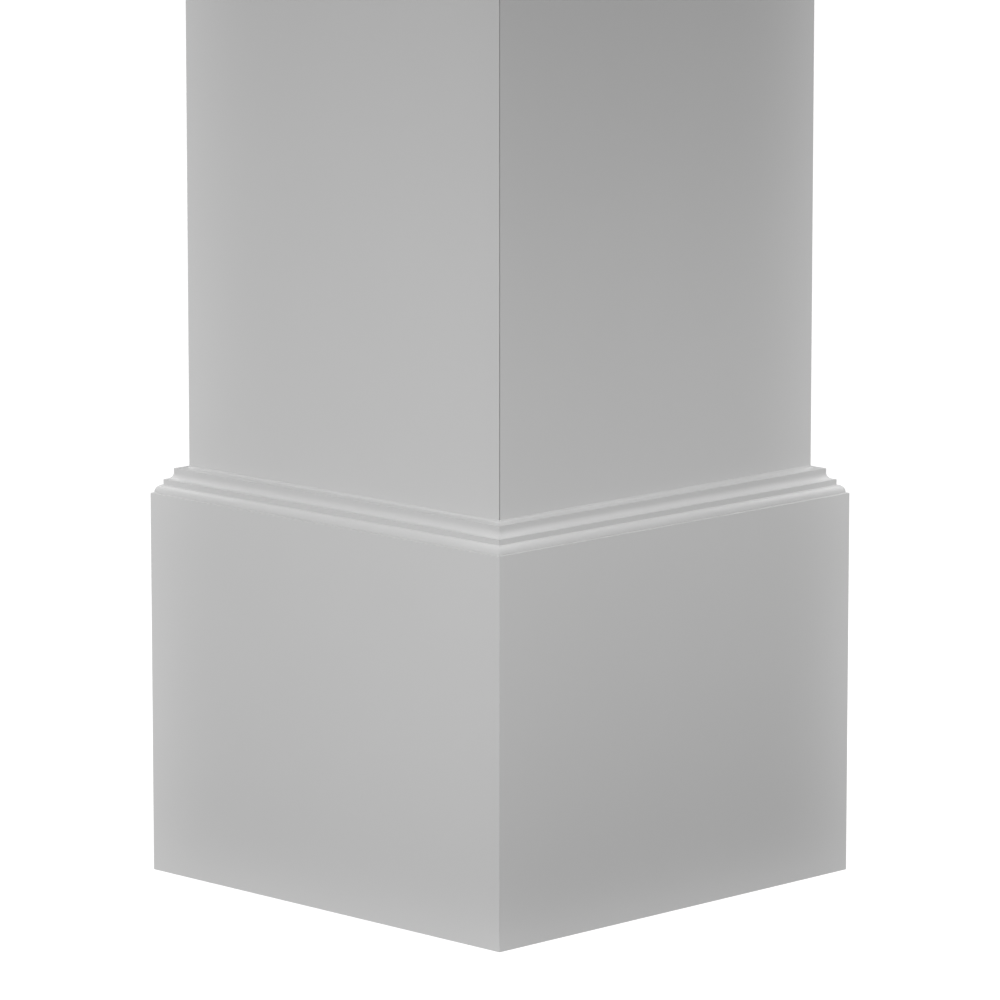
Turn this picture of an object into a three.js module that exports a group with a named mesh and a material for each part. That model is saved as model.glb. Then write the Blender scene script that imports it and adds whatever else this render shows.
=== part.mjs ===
// A square column wrap: the hollow casing of cellular PVC boards that dresses a structural porch post.
// Each side has a plain shaft board, a thicker plinth board round its foot and a stepped moulding that
// caps the plinth. All of them are mitred where two sides meet.
// Millimetres, +Z up. The origin is the centre of the underside, and the four sides face along X and Y.
import * as THREE from "three";

const shaftWidth = 304.8; // 12 in across the shaft
const shaftThickness = 12.7; // half-inch board
const shaftHeight = 1000; // a full shaft runs on to the beam, and this one is cut square
const plinthWidth = 342.9; // the shaft and a three-quarter-inch board on each side of it
const plinthHeight = 267.8;
const jointGap = 0.3; // open width of each mitre, and the room between boards that lie face to face

// The cap moulding's section, from the shaft outwards and from the top down.
const topWidth = 7.5; // flat top beside the shaft
const topFilletHeight = 3.2;
const coveDepth = 5.15;
const coveHeight = 4.6;
const bandHeight = 3.75; // upright band under the cove
const quirkDepth = 0.35; // narrow step between the band and the ovolo
const ovoloDepth = 4.2;
const ovoloHeight = 5.45;
const curvePoints = 12; // straight pieces along each curve of the section

const shaftFace = shaftWidth / 2;
const plinthFace = plinthWidth / 2;
const capHeight = topFilletHeight + coveHeight + bandHeight + ovoloHeight;
const capFoot = plinthHeight + jointGap;
const capTop = capFoot + capHeight;

// Sections are drawn across a board: x is the distance out from the column's axis, and y is the height.
function boardSection(backX, faceX, height) {
  return [
    new THREE.Vector2(backX, 0),
    new THREE.Vector2(faceX, 0),
    new THREE.Vector2(faceX, height),
    new THREE.Vector2(backX, height),
  ];
}

function capSection() {
  const backX = shaftFace + jointGap;
  const filletX = shaftFace + topWidth;
  const bandX = filletX + coveDepth;
  const ovoloX = bandX + quirkDepth;
  const coveTop = capTop - topFilletHeight;
  const bandTop = coveTop - coveHeight;
  const bandFoot = bandTop - bandHeight;
  const cove = new THREE.EllipseCurve(bandX, coveTop, coveDepth, coveHeight, Math.PI, Math.PI * 1.5);
  const ovolo = new THREE.EllipseCurve(ovoloX, capFoot, ovoloDepth, ovoloHeight, Math.PI / 2, 0, true);
  return [
    new THREE.Vector2(backX, capFoot),
    new THREE.Vector2(backX, capTop),
    new THREE.Vector2(filletX, capTop),
    ...cove.getPoints(curvePoints),
    new THREE.Vector2(bandX, bandFoot),
    ...ovolo.getPoints(curvePoints),
  ];
}

// Runs a section along the front side of the column, which faces -Y. Each end is a 45-degree mitre, so
// a point of the section reaches as far along the side as it stands out from the axis, less half a joint.
function mitredRun(section) {
  const geometry = new THREE.ExtrudeGeometry(new THREE.Shape(section), {
    depth: 1,
    bevelEnabled: false,
  });
  const position = geometry.getAttribute("position");
  for (let i = 0; i < position.count; i++) {
    const outward = position.getX(i);
    const height = position.getY(i);
    const side = 1 - 2 * position.getZ(i);
    position.setXYZ(i, side * (outward - jointGap / Math.SQRT2), -outward, height);
  }
  geometry.computeVertexNormals();
  return geometry;
}

// Light grey cellular PVC with a smooth, dull skin.
function pvcMesh(name, geometry) {
  const material = new THREE.MeshStandardMaterial({
    color: 0xbdbdbd,
    roughness: 0.55,
    metalness: 0,
  });
  const mesh = new THREE.Mesh(geometry, material);
  mesh.name = name;
  return mesh;
}

const shaftBoard = mitredRun(boardSection(shaftFace - shaftThickness, shaftFace, shaftHeight));
const plinthBoard = mitredRun(boardSection(shaftFace + jointGap, plinthFace, plinthHeight));
const capMoulding = mitredRun(capSection());

const columnWrap = new THREE.Group();
["front", "right", "back", "left"].forEach((side, quarter) => {
  const sideGroup = new THREE.Group();
  sideGroup.rotation.z = (quarter * Math.PI) / 2;
  sideGroup.add(pvcMesh(`shaft_board_${side}`, shaftBoard));
  sideGroup.add(pvcMesh(`plinth_board_${side}`, plinthBoard));
  sideGroup.add(pvcMesh(`cap_moulding_${side}`, capMoulding));
  columnWrap.add(sideGroup);
});

export default columnWrap;
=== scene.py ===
# A square column wrap: mitred boards of cellular PVC for a porch post, with a plinth round the foot.
# Every board and moulding is a section that one node tree runs along a side and mitres at both ends.
import math

import bmesh
import bpy
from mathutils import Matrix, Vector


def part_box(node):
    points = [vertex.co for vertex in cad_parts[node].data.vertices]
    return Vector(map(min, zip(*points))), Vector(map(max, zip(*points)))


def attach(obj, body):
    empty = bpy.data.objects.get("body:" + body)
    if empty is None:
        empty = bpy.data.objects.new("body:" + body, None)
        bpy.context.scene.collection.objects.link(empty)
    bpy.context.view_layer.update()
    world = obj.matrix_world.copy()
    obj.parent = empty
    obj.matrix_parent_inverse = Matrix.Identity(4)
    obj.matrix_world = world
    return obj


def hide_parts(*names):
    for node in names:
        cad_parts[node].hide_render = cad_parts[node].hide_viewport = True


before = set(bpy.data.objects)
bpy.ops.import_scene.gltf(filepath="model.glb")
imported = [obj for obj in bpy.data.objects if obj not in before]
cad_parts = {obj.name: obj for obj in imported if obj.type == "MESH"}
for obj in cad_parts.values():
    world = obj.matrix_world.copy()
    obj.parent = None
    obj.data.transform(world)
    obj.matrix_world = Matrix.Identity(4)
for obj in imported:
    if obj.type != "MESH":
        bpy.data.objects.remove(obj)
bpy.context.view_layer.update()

mm = 0.001
sides = ("front", "right", "back", "left")  # each is a quarter turn further round


def report(stage):
    print("column wrap:", stage, flush=True)


# #RRGGBB as the linear colour that a shader takes.
def linear(hexCode):
    channels = [int(hexCode[i : i + 2], 16) / 255 for i in (1, 3, 5)]
    return tuple(c / 12.92 if c <= 0.04045 else ((c + 0.055) / 1.055) ** 2.4 for c in channels) + (1,)


nodeSpacing = 200  # sets each new node to the right of the last one in the editor


# Adds a node to a tree. The settings are the node's own, and inputs gives sockets a value or a link.
def addNode(tree, kind, inputs=None, **settings):
    node = tree.nodes.new(kind)
    node.location.x = nodeSpacing * len(tree.nodes)
    for name, value in settings.items():
        setattr(node, name, value)
    for key, value in (inputs or {}).items():
        if isinstance(value, bpy.types.NodeSocket):
            tree.links.new(value, node.inputs[key])
        else:
            node.inputs[key].default_value = value
    return node


# A Mix node's sockets for colours share their names with others, so they are found by number.
mixSocket = {"factor": 0, "first": 6, "second": 7, "result": 2}


# Camera: a long lens on the front right corner, looking a little down. It is fitted to the photo's edges.
cameraView = {
    "sensor": 36.0,  # mm
    "lens": 242.95,  # mm
    "distance": 4.610,  # m from the column's axis, measured level
    "height": 1.0792,  # m over the floor
    "azimuth": 45.06,  # degrees from the front towards the right side
    "tilt": 10.044,  # degrees below level
    "reach": 200.0,  # m, beyond the floor's far edge
}


def makeCamera(view):
    data = bpy.data.cameras.new("cornerView")
    data.lens = view["lens"]
    data.sensor_width = view["sensor"]
    data.clip_end = view["reach"]
    camera = bpy.data.objects.new("cornerView", data)
    turn = math.radians(view["azimuth"])
    camera.location = (
        view["distance"] * math.sin(turn),
        -view["distance"] * math.cos(turn),
        view["height"],
    )
    camera.rotation_euler = (math.radians(90 - view["tilt"]), 0, turn)
    bpy.context.scene.collection.objects.link(camera)
    bpy.context.scene.camera = camera


makeCamera(cameraView)
report("camera")


# Cellular PVC trim is extruded as foam between two hard skins. The skin is even and matt, with a very
# fine grain from the calibrating plates and a slow waviness that only a raking light shows.
skinFinish = {
    "colour": "#bcbcbc",
    "roughness": 0.55,
    "roughnessSpread": 0.06,
    "ior": 1.53,  # rigid PVC
    "grainSize": 1.6,  # mm, coarser than the real grain of about 0.3 mm so that it shows at all
    "grainDepth": 0.012,  # mm
    "waveSize": 70.0,  # mm
    "waveDepth": 0.05,  # mm
    "toneSpread": 0.012,  # share of the colour
}


def cellularPvcSkin(name, finish):
    material = bpy.data.materials.new(name)
    material.use_nodes = True
    tree = material.node_tree
    where = addNode(tree, "ShaderNodeTexCoord").outputs["Object"]
    grain = addNode(
        tree, "ShaderNodeTexNoise", {"Vector": where, "Scale": 1 / (finish["grainSize"] * mm)}
    ).outputs["Fac"]
    waves = addNode(
        tree, "ShaderNodeTexNoise", {"Vector": where, "Scale": 1 / (finish["waveSize"] * mm)}
    ).outputs["Fac"]
    base = linear(finish["colour"])
    darker, lighter = (
        tuple(c * (1 + sign * finish["toneSpread"]) for c in base[:3]) + (1,) for sign in (-1, 1)
    )
    tone = addNode(
        tree,
        "ShaderNodeMix",
        {mixSocket["factor"]: waves, mixSocket["first"]: darker, mixSocket["second"]: lighter},
        data_type="RGBA",
    ).outputs[mixSocket["result"]]
    dullness = addNode(
        tree,
        "ShaderNodeMapRange",
        {
            "Value": grain,
            "To Min": finish["roughness"] - finish["roughnessSpread"],
            "To Max": finish["roughness"] + finish["roughnessSpread"],
        },
    )
    slow = addNode(tree, "ShaderNodeBump", {"Height": waves, "Distance": finish["waveDepth"] * mm})
    fine = addNode(
        tree,
        "ShaderNodeBump",
        {"Height": grain, "Distance": finish["grainDepth"] * mm, "Normal": slow.outputs["Normal"]},
    )
    shader = tree.nodes["Principled BSDF"]
    shader.inputs["IOR"].default_value = finish["ior"]
    tree.links.new(tone, shader.inputs["Base Color"])
    tree.links.new(dullness.outputs["Result"], shader.inputs["Roughness"])
    tree.links.new(fine.outputs["Normal"], shader.inputs["Normal"])
    return material


# Where a saw or cutter has gone through the skin, the foam's cells are open and the surface is dull.
# The pits of the open cells are painted darker, as painted shade.
sawnFinish = {
    "colour": "#bfbfbf",
    "pitShadeColour": "#adadad",
    "roughness": 0.85,
    "ior": 1.53,
    "cellSize": 0.8,  # mm, drawn about three times as large as the real cells
    "cellDepth": 0.12,  # mm
}


def sawnPvcFoam(name, finish):
    material = bpy.data.materials.new(name)
    material.use_nodes = True
    tree = material.node_tree
    where = addNode(tree, "ShaderNodeTexCoord").outputs["Object"]
    cells = addNode(
        tree,
        "ShaderNodeTexVoronoi",
        {"Vector": where, "Scale": 1 / (finish["cellSize"] * mm)},
        feature="SMOOTH_F1",
    ).outputs["Distance"]
    # Painted shade: each cell is darker at its middle, where the bump sinks it into a pit.
    tone = addNode(
        tree,
        "ShaderNodeMix",
        {
            mixSocket["factor"]: cells,
            mixSocket["first"]: linear(finish["pitShadeColour"]),
            mixSocket["second"]: linear(finish["colour"]),
        },
        data_type="RGBA",
    ).outputs[mixSocket["result"]]
    pores = addNode(tree, "ShaderNodeBump", {"Height": cells, "Distance": finish["cellDepth"] * mm})
    shader = tree.nodes["Principled BSDF"]
    shader.inputs["IOR"].default_value = finish["ior"]
    shader.inputs["Roughness"].default_value = finish["roughness"]
    tree.links.new(tone, shader.inputs["Base Color"])
    tree.links.new(pores.outputs["Normal"], shader.inputs["Normal"])
    return material


shadedMouldingFinish = dict(skinFinish, colour="#b9b9b9")  # the same skin, a little darker as painted shade that tones down the light on the moulding's curves

boardSkin = cellularPvcSkin("cellularPvcBoardSkin", skinFinish)
shadedMouldingSkin = cellularPvcSkin("cellularPvcMouldingSkinShaded", shadedMouldingFinish)
sawnFoam = sawnPvcFoam("sawnCellularPvc", sawnFinish)
report("materials")


runRules = {
    "mergeDistance": 0.001,  # mm
    "cornerFold": 30.0,  # degrees, and an edge with a sharper fold is a corner
    "backDepth": 0.1,  # mm from the section's back, and corners within it stay sharp
    "mitreSlant": 0.4,  # a mitre's normal has X and Y whose product is 0.5
    "levelFace": 0.9,  # Z of a normal, which is 1 on a level face
}


# The node tree: a section drawn in X (out from the column's axis) and Z becomes a run along one side.
# Each end is mitred by moving a point along the side as far as it stands out, less half the joint. A
# joint may widen towards the face, as it does where two boards touch at their inner edges first.
def mitredRunTree(rules):
    tree = bpy.data.node_groups.new("mitredRun", "GeometryNodeTree")
    for name, kind in (
        ("Section", "NodeSocketGeometry"),
        ("Section back", "NodeSocketFloat"),
        ("Joint gap", "NodeSocketFloat"),
        ("Joint widening", "NodeSocketFloat"),
        ("Quarter turns", "NodeSocketInt"),
        ("Sawn edges", "NodeSocketBool"),
        ("Skin", "NodeSocketMaterial"),
        ("Sawn foam", "NodeSocketMaterial"),
    ):
        tree.interface.new_socket(name=name, in_out="INPUT", socket_type=kind)
    tree.interface.new_socket(name="Run", in_out="OUTPUT", socket_type="NodeSocketGeometry")
    given = addNode(tree, "NodeGroupInput").outputs

    # A prism one metre deep, closed at both ends.
    inward = addNode(tree, "ShaderNodeCombineXYZ", {"Y": 1.0}).outputs["Vector"]
    extruded = addNode(
        tree,
        "GeometryNodeExtrudeMesh",
        {"Mesh": given["Section"], "Offset": inward, "Offset Scale": 1.0, "Individual": False},
    ).outputs["Mesh"]
    nearEnd = addNode(tree, "GeometryNodeFlipFaces", {"Mesh": given["Section"]}).outputs["Mesh"]
    both = addNode(tree, "GeometryNodeJoinGeometry", {"Geometry": extruded})
    tree.links.new(nearEnd, both.inputs["Geometry"])
    prism = addNode(
        tree,
        "GeometryNodeMergeByDistance",
        {"Geometry": both.outputs["Geometry"], "Distance": rules["mergeDistance"] * mm},
    ).outputs["Geometry"]

    place = addNode(tree, "GeometryNodeInputPosition").outputs["Position"]
    axes = addNode(tree, "ShaderNodeSeparateXYZ", {"Vector": place}).outputs
    depth = addNode(
        tree, "ShaderNodeMath", {0: axes["X"], 1: given["Section back"]}, operation="SUBTRACT"
    ).outputs["Value"]

    # The bevel that follows eases the corners, but not at the back, which lies against another board.
    fold = addNode(tree, "GeometryNodeInputMeshEdgeAngle").outputs["Unsigned Angle"]
    isCorner = addNode(
        tree, "ShaderNodeMath", {0: fold, 1: math.radians(rules["cornerFold"])}, operation="GREATER_THAN"
    ).outputs["Value"]
    isInFront = addNode(
        tree, "ShaderNodeMath", {0: depth, 1: rules["backDepth"] * mm}, operation="GREATER_THAN"
    ).outputs["Value"]
    eased = addNode(
        tree, "ShaderNodeMath", {0: isCorner, 1: isInFront}, operation="MULTIPLY"
    ).outputs["Value"]
    marked = addNode(
        tree,
        "GeometryNodeStoreNamedAttribute",
        {"Geometry": prism, "Name": "bevel_weight_edge", "Value": eased},
        data_type="FLOAT",
        domain="EDGE",
    ).outputs["Geometry"]

    gap = addNode(
        tree,
        "ShaderNodeMath",
        {0: depth, 1: given["Joint widening"], 2: given["Joint gap"]},
        operation="MULTIPLY_ADD",
    ).outputs["Value"]
    halfGap = addNode(
        tree, "ShaderNodeMath", {0: gap, 1: math.sqrt(2)}, operation="DIVIDE"
    ).outputs["Value"]
    reach = addNode(
        tree, "ShaderNodeMath", {0: axes["X"], 1: halfGap}, operation="SUBTRACT"
    ).outputs["Value"]
    # From the near end of the prism to the far one, the side goes from 1 to -1.
    side = addNode(
        tree, "ShaderNodeMath", {0: axes["Y"], 1: -2.0, 2: 1.0}, operation="MULTIPLY_ADD"
    ).outputs["Value"]
    along = addNode(
        tree, "ShaderNodeMath", {0: reach, 1: side}, operation="MULTIPLY"
    ).outputs["Value"]
    outward = addNode(
        tree, "ShaderNodeMath", {0: axes["X"], 1: -1.0}, operation="MULTIPLY"
    ).outputs["Value"]
    moved = addNode(
        tree, "ShaderNodeCombineXYZ", {"X": along, "Y": outward, "Z": axes["Z"]}
    ).outputs["Vector"]
    mitred = addNode(
        tree, "GeometryNodeSetPosition", {"Geometry": marked, "Position": moved}
    ).outputs["Geometry"]
    turn = addNode(
        tree, "ShaderNodeMath", {0: given["Quarter turns"], 1: math.pi / 2}, operation="MULTIPLY"
    ).outputs["Value"]
    aboutAxis = addNode(tree, "ShaderNodeCombineXYZ", {"Z": turn}).outputs["Vector"]
    turned = addNode(
        tree, "GeometryNodeTransform", {"Geometry": mitred, "Rotation": aboutAxis}
    ).outputs["Geometry"]

    # Sawn faces are the mitres, whose normals lie between X and Y, and a board's upper and lower edges.
    facing = addNode(tree, "GeometryNodeInputNormal").outputs["Normal"]
    normal = addNode(tree, "ShaderNodeSeparateXYZ", {"Vector": facing}).outputs
    across = addNode(
        tree, "ShaderNodeMath", {0: normal["X"], 1: normal["Y"]}, operation="MULTIPLY"
    ).outputs["Value"]
    slant = addNode(tree, "ShaderNodeMath", {0: across}, operation="ABSOLUTE").outputs["Value"]
    isMitre = addNode(
        tree, "ShaderNodeMath", {0: slant, 1: rules["mitreSlant"]}, operation="GREATER_THAN"
    ).outputs["Value"]
    level = addNode(tree, "ShaderNodeMath", {0: normal["Z"]}, operation="ABSOLUTE").outputs["Value"]
    isEdge = addNode(
        tree, "ShaderNodeMath", {0: level, 1: rules["levelFace"]}, operation="GREATER_THAN"
    ).outputs["Value"]
    sawnEdge = addNode(
        tree, "ShaderNodeMath", {0: isEdge, 1: given["Sawn edges"]}, operation="MULTIPLY"
    ).outputs["Value"]
    isSawn = addNode(
        tree, "ShaderNodeMath", {0: isMitre, 1: sawnEdge}, operation="MAXIMUM"
    ).outputs["Value"]

    real = addNode(tree, "GeometryNodeRealizeInstances", {"Geometry": turned}).outputs["Geometry"]
    skinned = addNode(
        tree, "GeometryNodeSetMaterial", {"Geometry": real, "Material": given["Skin"]}
    ).outputs["Geometry"]
    finished = addNode(
        tree,
        "GeometryNodeSetMaterial",
        {"Geometry": skinned, "Selection": isSawn, "Material": given["Sawn foam"]},
    ).outputs["Geometry"]
    addNode(tree, "NodeGroupOutput", {"Run": finished})
    return tree


tightJoint = 0.02  # mm, the opening of every mitre at its inner edge
easedSteps = 3  # faces across each eased corner
runTree = mitredRunTree(runRules)
runSockets = runTree.interface.items_tree
runInputs = {item.name: item.identifier for item in runSockets if item.in_out == "INPUT"}


# Makes one family of pieces, a piece for each side. Each stands for the frame's node of the same side.
def makeRuns(family, nodeFamily, section, sizes, sawnEdges, skin):
    back = min(x for x, z in section)
    face = max(x for x, z in section)
    widening = (sizes["jointGap"] - tightJoint) * mm / (face - back)
    for turns, side in enumerate(sides):
        name = family + side.capitalize()
        outline = bpy.data.meshes.new(name + "Section")
        outline.from_pydata([(x, 0, z) for x, z in section], [], [range(len(section))])
        maker = bpy.data.objects.new(name + "Maker", outline)
        bpy.context.scene.collection.objects.link(maker)

        run = maker.modifiers.new("mitredRun", "NODES")
        run.node_group = runTree
        run[runInputs["Section back"]] = back
        run[runInputs["Joint gap"]] = tightJoint * mm
        run[runInputs["Joint widening"]] = widening
        run[runInputs["Quarter turns"]] = turns
        run[runInputs["Sawn edges"]] = sawnEdges
        run[runInputs["Skin"]] = skin
        run[runInputs["Sawn foam"]] = sawnFoam
        ease = maker.modifiers.new("easedEdges", "BEVEL")
        ease.width = sizes["easedEdge"] * mm
        ease.segments = easedSteps
        ease.limit_method = "WEIGHT"

        evaluated = maker.evaluated_get(bpy.context.evaluated_depsgraph_get())
        mesh = bpy.data.meshes.new_from_object(evaluated)
        mesh.name = name
        maker.modifiers.clear()
        bpy.data.objects.remove(maker)
        bpy.data.meshes.remove(outline)
        faceOutwards(mesh, flatLimits)

        piece = bpy.data.objects.new(name, mesh)
        bpy.context.scene.collection.objects.link(piece)
        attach(piece, "root")
        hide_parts(nodeFamily + "_" + side)
    report(family)


# How far the parts of a normal may be from those of a flat face.
flatLimits = {
    "square": 0.0001,  # its largest part from 1
    "mitre": 0.05,  # X from Y
    "upright": 0.001,  # Z from 0
}


# Turns the faces outwards, and shades the curves and the eased edges smooth. Square faces and mitres
# stay flat.
def faceOutwards(mesh, limits):
    work = bmesh.new()
    work.from_mesh(mesh)
    bmesh.ops.recalc_face_normals(work, faces=work.faces)
    for face in work.faces:
        largest = max(abs(part) for part in face.normal)
        isSlanting = abs(abs(face.normal.x) - abs(face.normal.y)) < limits["mitre"]
        isMitre = isSlanting and abs(face.normal.z) < limits["upright"]
        face.smooth = largest < 1 - limits["square"] and not isMitre
    work.to_mesh(mesh)
    work.free()


# A board's section, as thick and as high as the frame's own board.
def boardSection(node):
    low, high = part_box(node)
    back, face = -high.y, -low.y
    return [(back, low.z), (face, low.z), (face, high.z), (back, high.z)]


shaftSizes = {"jointGap": 0.36, "easedEdge": 0.2}  # mm
shaftSection = boardSection("shaft_board_front")
makeRuns("shaftBoard", "shaft_board", shaftSection, shaftSizes, True, boardSkin)

plinthSizes = {"jointGap": 0.04, "easedEdge": 0.15}  # mm
plinthSection = boardSection("plinth_board_front")
makeRuns("plinthBoard", "plinth_board", plinthSection, plinthSizes, True, boardSkin)

# The cap moulding's section, in mm from its top inner corner outwards and down. The ovolo takes what is
# left of the frame's own depth and height.
capSizes = {
    "jointGap": 0.04,
    "easedEdge": 0.1,
    "topWidth": 7.5,
    "topFilletHeight": 3.2,
    "coveDepth": 5.15,
    "coveHeight": 4.6,
    "bandHeight": 3.75,
    "quirkDepth": 0.35,
    "seatGap": 0.005,  # to the plinth's top edge and to the shaft
    "beadRadius": 2.2,  # the sealant tooled into the corner with the shaft
    "beadSteps": 12,
    "curveSteps": 24,
}


# Points along a quarter of an ellipse, from one angle in degrees to the other.
def quarterCurve(centre, radii, start, end, steps):
    angles = [math.radians(start + (end - start) * i / steps) for i in range(steps + 1)]
    return [(centre[0] + radii[0] * math.cos(a), centre[1] + radii[1] * math.sin(a)) for a in angles]


def capSection(sizes):
    low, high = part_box("cap_moulding_front")
    face, top = -low.y, high.z
    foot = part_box("plinth_board_front")[1].z + sizes["seatGap"] * mm
    shaftFace = -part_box("shaft_board_front")[0].y
    back = shaftFace + sizes["seatGap"] * mm
    filletFace = shaftFace + sizes["topWidth"] * mm
    coveTop = top - sizes["topFilletHeight"] * mm
    bandFace = filletFace + sizes["coveDepth"] * mm
    bandTop = coveTop - sizes["coveHeight"] * mm
    bandFoot = bandTop - sizes["bandHeight"] * mm
    quirk = bandFace + sizes["quirkDepth"] * mm
    bead = sizes["beadRadius"] * mm
    sealant = quarterCurve((back + bead, top + bead), (bead, bead), 180, 270, sizes["beadSteps"])
    coveRadii = (bandFace - filletFace, coveTop - bandTop)
    cove = quarterCurve((bandFace, coveTop), coveRadii, 180, 270, sizes["curveSteps"])
    ovoloRadii = (face - quirk, bandFoot - low.z)
    ovolo = quarterCurve((quirk, low.z), ovoloRadii, 90, 0, sizes["curveSteps"])
    upper = [(back, foot)] + sealant + [(filletFace, top)] + cove
    return upper + [(bandFace, bandFoot)] + ovolo + [(face, foot)]


capOutline = capSection(capSizes)
makeRuns("capMoulding", "cap_moulding", capOutline, capSizes, False, shadedMouldingSkin)


# Studio: a plain pale floor that runs far behind. To the camera it also glows, so it comes out white and
# shows hardly any shadow, and what it sends back up to the boards stays low.
floorFinish = {
    "colour": "#767676",
    "glow": 0.93,
    "roughness": 0.9,
    "grainSize": 4.0,  # mm
    "grainDepth": 0.02,  # mm
    "radius": 60.0,  # m
    "sides": 64,
}


def makeFloor(finish):
    material = bpy.data.materials.new("mattPaleFloor")
    material.use_nodes = True
    tree = material.node_tree
    where = addNode(tree, "ShaderNodeTexCoord").outputs["Object"]
    grain = addNode(
        tree, "ShaderNodeTexNoise", {"Vector": where, "Scale": 1 / (finish["grainSize"] * mm)}
    ).outputs["Fac"]
    bump = addNode(tree, "ShaderNodeBump", {"Height": grain, "Distance": finish["grainDepth"] * mm})
    seen = addNode(tree, "ShaderNodeLightPath").outputs["Is Camera Ray"]
    glow = addNode(tree, "ShaderNodeMath", {0: seen, 1: finish["glow"]}, operation="MULTIPLY")
    shader = tree.nodes["Principled BSDF"]
    shader.inputs["Base Color"].default_value = linear(finish["colour"])
    shader.inputs["Roughness"].default_value = finish["roughness"]
    shader.inputs["Emission Color"].default_value = (1, 1, 1, 1)
    tree.links.new(glow.outputs["Value"], shader.inputs["Emission Strength"])
    tree.links.new(bump.outputs["Normal"], shader.inputs["Normal"])
    mesh = bpy.data.meshes.new("studioFloor")
    work = bmesh.new()
    bmesh.ops.create_circle(work, cap_ends=True, segments=finish["sides"], radius=finish["radius"])
    work.to_mesh(mesh)
    work.free()
    mesh.materials.append(material)
    floor = bpy.data.objects.new("studioFloor", mesh)
    bpy.context.scene.collection.objects.link(floor)


makeFloor(floorFinish)


# One broad soft light from high up, a low strip beside the front and the right, and a tall panel beside
# each of the other sides. A panel is no wider than the column, so its light stays on its own side.
highLight = {
    "strength": 3.55,
    "softness": 60.0,  # degrees across
    "azimuth": 52.0,  # degrees from the front towards the right side
    "elevation": 76.0,  # degrees
    "distance": 3.0,  # m, and with the height only where this sun lamp is drawn
    "height": 4.0,  # m
}
sideLights = {  # metres and watts
    "front": {"watts": 9.4, "width": 3.0, "height": 0.1, "distance": 1.1, "middle": 0.25},
    "right": {"watts": 3.0, "width": 3.0, "height": 0.1, "distance": 0.65, "middle": 0.28},
    "back": {"watts": 9.0, "width": 0.34, "height": 1.2, "distance": 1.2, "middle": 0.55},
    "left": {"watts": 8.0, "width": 0.34, "height": 1.2, "distance": 1.2, "middle": 0.55},
}


def placeLamp(name, data, azimuth, distance, height, elevation=0.0):
    lamp = bpy.data.objects.new(name, data)
    turn = math.radians(azimuth)
    lamp.location = (distance * math.sin(turn), -distance * math.cos(turn), height)
    lamp.rotation_euler = (math.radians(90 - elevation), 0, turn)
    lamp.visible_camera = False
    bpy.context.scene.collection.objects.link(lamp)


def makeLights(high, besides):
    sun = bpy.data.lights.new("highSoftLight", "SUN")
    sun.energy = high["strength"]
    sun.angle = math.radians(high["softness"])
    place = (high["azimuth"], high["distance"], high["height"], high["elevation"])
    placeLamp("highSoftLight", sun, *place)
    for turns, side in enumerate(sides):
        light = besides[side]
        panel = bpy.data.lights.new(side + "Light", "AREA")
        panel.shape = "RECTANGLE"
        panel.size = light["width"]
        panel.size_y = light["height"]
        panel.energy = light["watts"]
        placeLamp(side + "Light", panel, 90.0 * turns, light["distance"], light["middle"])


worldLight = {"shown": 1.2, "given": 0.0}  # what the camera sees, and what lights the boards


def makeWorld(light):
    world = bpy.data.worlds.new("studioWorld")
    world.use_nodes = True
    tree = world.node_tree
    tree.nodes.clear()
    ray = addNode(tree, "ShaderNodeLightPath").outputs["Is Camera Ray"]
    given, shown = (
        addNode(
            tree, "ShaderNodeBackground", {"Color": (1, 1, 1, 1), "Strength": light[part]}
        ).outputs["Background"]
        for part in ("given", "shown")
    )
    mixed = addNode(tree, "ShaderNodeMixShader", {0: ray, 1: given, 2: shown})
    addNode(tree, "ShaderNodeOutputWorld", {"Surface": mixed.outputs["Shader"]})
    bpy.context.scene.world = world


# The lens spreads part of the bright surroundings over the column, so it is lighter along its outer edges.
lensVeil = {"share": 0.19, "spread": 0.111}  # the spread is a share of the picture's width


def makeVeil(veil):
    bpy.context.scene.use_nodes = True
    tree = bpy.context.scene.node_tree
    tree.nodes.clear()
    sharp = addNode(tree, "CompositorNodeRLayers").outputs["Image"]
    reach = addNode(
        tree, "CompositorNodeRelativeToPixel", {1: veil["spread"], "Image": sharp}
    ).outputs[0]
    soft = addNode(
        tree, "CompositorNodeBlur", {"Image": sharp, "Size": reach}, filter_type="GAUSS"
    ).outputs["Image"]
    veiled = addNode(
        tree, "CompositorNodeMixRGB", {0: veil["share"], 1: sharp, 2: soft}
    ).outputs["Image"]
    addNode(tree, "CompositorNodeComposite", {"Image": veiled})


makeLights(highLight, sideLights)
makeWorld(worldLight)
makeVeil(lensVeil)
bpy.context.scene.view_settings.view_transform = "Standard"
report("studio")
